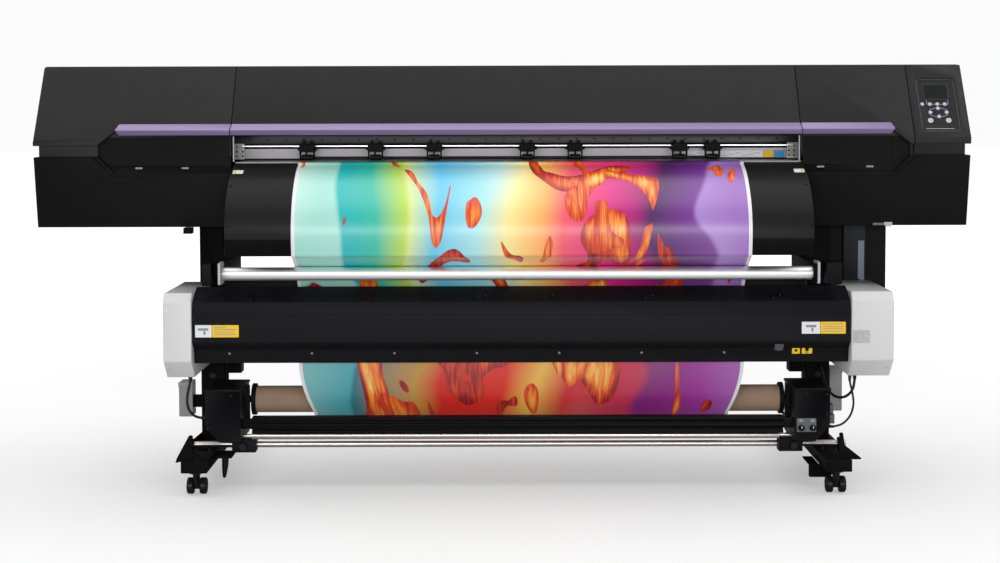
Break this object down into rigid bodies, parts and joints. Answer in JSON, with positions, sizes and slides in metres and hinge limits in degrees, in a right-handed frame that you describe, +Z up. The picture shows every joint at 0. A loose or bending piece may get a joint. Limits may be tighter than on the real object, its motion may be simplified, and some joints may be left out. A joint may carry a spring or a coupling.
{
  "type": "wide-format printer cutter",
  "caption": "Wide-format roll printer and cutter on a castered stand, with a curved apron, a tension bar, a drying hood and a roll take-up unit.",
  "frame": {"origin": "on the floor, under the middle of the machine's box", "axes": "+X along the machine to the operator's right, +Y from the front to the back, +Z up"},
  "size_m": [3.1, 0.96, 1.41],
  "materials": {
    "cover_plastic": "fine satin texture",
    "lower_cover_plastic": "satin",
    "trim_plastic": "satin violet",
    "frame_paint": "satin black powder coat",
    "apron_paint": "satin black",
    "unit_plastic": "satin",
    "rail_black": "black anodised",
    "aluminium": "brushed",
    "roller_steel": "ground",
    "chrome": "polished",
    "white_plastic": "satin",
    "kraft_core": "plain",
    "media_vinyl": "printed, satin",
    "caster_rubber": "matt",
    "cable_rubber": "matt",
    "key_plastic": "satin",
    "tank_plastic": "satin"
  },
  "bodies": {
    "machine": {"left_leg": "frame_paint", "right_leg": "frame_paint", "rear_stretcher": "frame_paint", "main_frame": "frame_paint", "platen": "aluminium", "front_apron": "apron_paint", "carriage_rail": "aluminium", "left_upper_cover": "cover_plastic", "right_upper_cover": "cover_plastic", "control_panel_cover": "cover_plastic", "left_lower_cover": "lower_cover_plastic", "right_lower_cover": "lower_cover_plastic", "rear_cover": "cover_plastic", "left_trim": "trim_plastic", "right_trim": "trim_plastic", "waste_ink_tank": "tank_plastic", "slitter_hood": "frame_paint", "hood_left_cover": "white_plastic", "hood_right_cover": "white_plastic", "takeup_slide_bar": "chrome", "takeup_rail": "rail_black", "left_takeup_housing": "unit_plastic", "right_takeup_housing": "unit_plastic", "media_sheet": "media_vinyl", "right_motor_cable": "cable_rubber", "right_signal_cable": "cable_rubber", "left_motor_cable": "cable_rubber"},
    "front_cover_body": {"front_cover": "cover_plastic", "front_trim": "trim_plastic"},
    "carriage_body": {"carriage": "unit_plastic"},
    "pinch_arms": {"pinch_arm_bank": "unit_plastic"},
    "pinch_roller_set": {"pinch_rollers": "roller_steel"},
    "grit_drive": {"grit_roller": "roller_steel"},
    "tension_roller": {"tension_bar": "aluminium"},
    "turn_roller": {"takeup_turn_bar": "chrome"},
    "takeup_spool": {"takeup_core": "kraft_core", "left_core_flange": "unit_plastic", "right_core_flange": "unit_plastic"},
    "supply_spool": {"supply_roll": "media_vinyl"},
    "switch_1": {"takeup_switch_1": "key_plastic"},
    "switch_2": {"takeup_switch_2": "key_plastic"},
    "function_key_1_body": {"function_key_1": "key_plastic"},
    "function_key_2_body": {"function_key_2": "key_plastic"},
    "function_key_3_body": {"function_key_3": "key_plastic"},
    "function_key_4_body": {"function_key_4": "key_plastic"},
    "up_key_body": {"up_key": "key_plastic"},
    "left_key_body": {"left_key": "key_plastic"},
    "right_key_body": {"right_key": "key_plastic"},
    "down_key_body": {"down_key": "key_plastic"},
    "end_key_body": {"end_key": "key_plastic"},
    "enter_key_body": {"enter_key": "key_plastic"},
    "left_front_swivel": {"left_front_caster_fork": "frame_paint"},
    "left_front_wheels": {"left_front_caster_wheels": "caster_rubber"},
    "left_rear_swivel": {"left_rear_caster_fork": "frame_paint"},
    "left_rear_wheels": {"left_rear_caster_wheels": "caster_rubber"},
    "right_front_swivel": {"right_front_caster_fork": "frame_paint"},
    "right_front_wheels": {"right_front_caster_wheels": "caster_rubber"},
    "right_rear_swivel": {"right_rear_caster_fork": "frame_paint"},
    "right_rear_wheels": {"right_rear_caster_wheels": "caster_rubber"}
  },
  "joints": [
    {"name": "front_cover_hinge", "type": "hinge", "parent": "machine", "child": "front_cover_body", "pos_m": [0.0465, 0.06, 1.41], "axis": [-1, 0, 0], "range_deg": [0, 60]},
    {"name": "carriage_slide", "type": "slide", "parent": "machine", "child": "carriage_body", "axis": [1, 0, 0], "range_m": [-2.3, 0]},
    {"name": "pinch_lift", "type": "hinge", "parent": "machine", "child": "pinch_arms", "pos_m": [0.0265, -0.116, 1.141], "axis": [-1, 0, 0], "range_deg": [0, 8]},
    {"name": "pinch_roller_spin", "type": "hinge", "parent": "pinch_arms", "child": "pinch_roller_set", "pos_m": [0.0265, -0.145, 1.1004], "axis": [1, 0, 0], "continuous": true},
    {"name": "grit_roller_spin", "type": "hinge", "parent": "machine", "child": "grit_drive", "pos_m": [0.0545, -0.145, 1.073], "axis": [1, 0, 0], "continuous": true},
    {"name": "tension_bar_spin", "type": "hinge", "parent": "machine", "child": "tension_roller", "pos_m": [0.049, -0.4, 0.73], "axis": [1, 0, 0], "continuous": true},
    {"name": "turn_bar_spin", "type": "hinge", "parent": "machine", "child": "turn_roller", "pos_m": [0.049, -0.28, 0.174], "axis": [1, 0, 0], "continuous": true},
    {"name": "takeup_spin", "type": "hinge", "parent": "machine", "child": "takeup_spool", "pos_m": [0.049, -0.175, 0.28], "axis": [1, 0, 0], "continuous": true},
    {"name": "supply_spin", "type": "hinge", "parent": "machine", "child": "supply_spool", "pos_m": [0.0625, 0.37, 0.7], "axis": [1, 0, 0], "continuous": true},
    {"name": "function_key_1_press", "type": "slide", "parent": "machine", "child": "function_key_1_body", "axis": [0, 0.8451, -0.5347], "range_m": [0, 0.0015], "stiffness_N_per_m": 300, "springref_m": -0.0005},
    {"name": "function_key_2_press", "type": "slide", "parent": "machine", "child": "function_key_2_body", "axis": [0, 0.8451, -0.5347], "range_m": [0, 0.0015], "stiffness_N_per_m": 300, "springref_m": -0.0005},
    {"name": "function_key_3_press", "type": "slide", "parent": "machine", "child": "function_key_3_body", "axis": [0, 0.8451, -0.5347], "range_m": [0, 0.0015], "stiffness_N_per_m": 300, "springref_m": -0.0005},
    {"name": "function_key_4_press", "type": "slide", "parent": "machine", "child": "function_key_4_body", "axis": [0, 0.8451, -0.5347], "range_m": [0, 0.0015], "stiffness_N_per_m": 300, "springref_m": -0.0005},
    {"name": "up_key_press", "type": "slide", "parent": "machine", "child": "up_key_body", "axis": [0, 0.8451, -0.5347], "range_m": [0, 0.0015], "stiffness_N_per_m": 300, "springref_m": -0.0005},
    {"name": "left_key_press", "type": "slide", "parent": "machine", "child": "left_key_body", "axis": [0, 0.8451, -0.5347], "range_m": [0, 0.0015], "stiffness_N_per_m": 300, "springref_m": -0.0005},
    {"name": "right_key_press", "type": "slide", "parent": "machine", "child": "right_key_body", "axis": [0, 0.8451, -0.5347], "range_m": [0, 0.0015], "stiffness_N_per_m": 300, "springref_m": -0.0005},
    {"name": "down_key_press", "type": "slide", "parent": "machine", "child": "down_key_body", "axis": [0, 0.8451, -0.5347], "range_m": [0, 0.0015], "stiffness_N_per_m": 300, "springref_m": -0.0005},
    {"name": "end_key_press", "type": "slide", "parent": "machine", "child": "end_key_body", "axis": [0, 0.8451, -0.5347], "range_m": [0, 0.0015], "stiffness_N_per_m": 300, "springref_m": -0.0005},
    {"name": "enter_key_press", "type": "slide", "parent": "machine", "child": "enter_key_body", "axis": [0, 0.8451, -0.5347], "range_m": [0, 0.0015], "stiffness_N_per_m": 300, "springref_m": -0.0005},
    {"name": "switch_1_turn", "type": "hinge", "parent": "machine", "child": "switch_1", "pos_m": [0.99, -0.33, 0.205], "axis": [0, -1, 0], "range_deg": [0, 60]},
    {"name": "switch_2_turn", "type": "hinge", "parent": "machine", "child": "switch_2", "pos_m": [1.028, -0.33, 0.205], "axis": [0, -1, 0], "range_deg": [0, 60]},
    {"name": "left_front_swivel_turn", "type": "hinge", "parent": "machine", "child": "left_front_swivel", "pos_m": [-1.007, -0.38, 0.06], "axis": [0, 0, 1], "continuous": true},
    {"name": "left_front_wheel_spin", "type": "hinge", "parent": "left_front_swivel", "child": "left_front_wheels", "pos_m": [-1.007, -0.366, 0.027], "axis": [1, 0, 0], "continuous": true},
    {"name": "left_rear_swivel_turn", "type": "hinge", "parent": "machine", "child": "left_rear_swivel", "pos_m": [-1.007, 0.38, 0.06], "axis": [0, 0, 1], "continuous": true},
    {"name": "left_rear_wheel_spin", "type": "hinge", "parent": "left_rear_swivel", "child": "left_rear_wheels", "pos_m": [-1.007, 0.394, 0.027], "axis": [1, 0, 0], "continuous": true},
    {"name": "right_front_swivel_turn", "type": "hinge", "parent": "machine", "child": "right_front_swivel", "pos_m": [1.096, -0.38, 0.06], "axis": [0, 0, 1], "continuous": true},
    {"name": "right_front_wheel_spin", "type": "hinge", "parent": "right_front_swivel", "child": "right_front_wheels", "pos_m": [1.096, -0.366, 0.027], "axis": [1, 0, 0], "continuous": true},
    {"name": "right_rear_swivel_turn", "type": "hinge", "parent": "machine", "child": "right_rear_swivel", "pos_m": [1.096, 0.38, 0.06], "axis": [0, 0, 1], "continuous": true},
    {"name": "right_rear_wheel_spin", "type": "hinge", "parent": "right_rear_swivel", "child": "right_rear_wheels", "pos_m": [1.096, 0.394, 0.027], "axis": [1, 0, 0], "continuous": true}
  ],
  "couplings": [
    {"joint": "pinch_roller_spin", "follows": "grit_roller_spin", "ratio": -1.6}
  ]
}
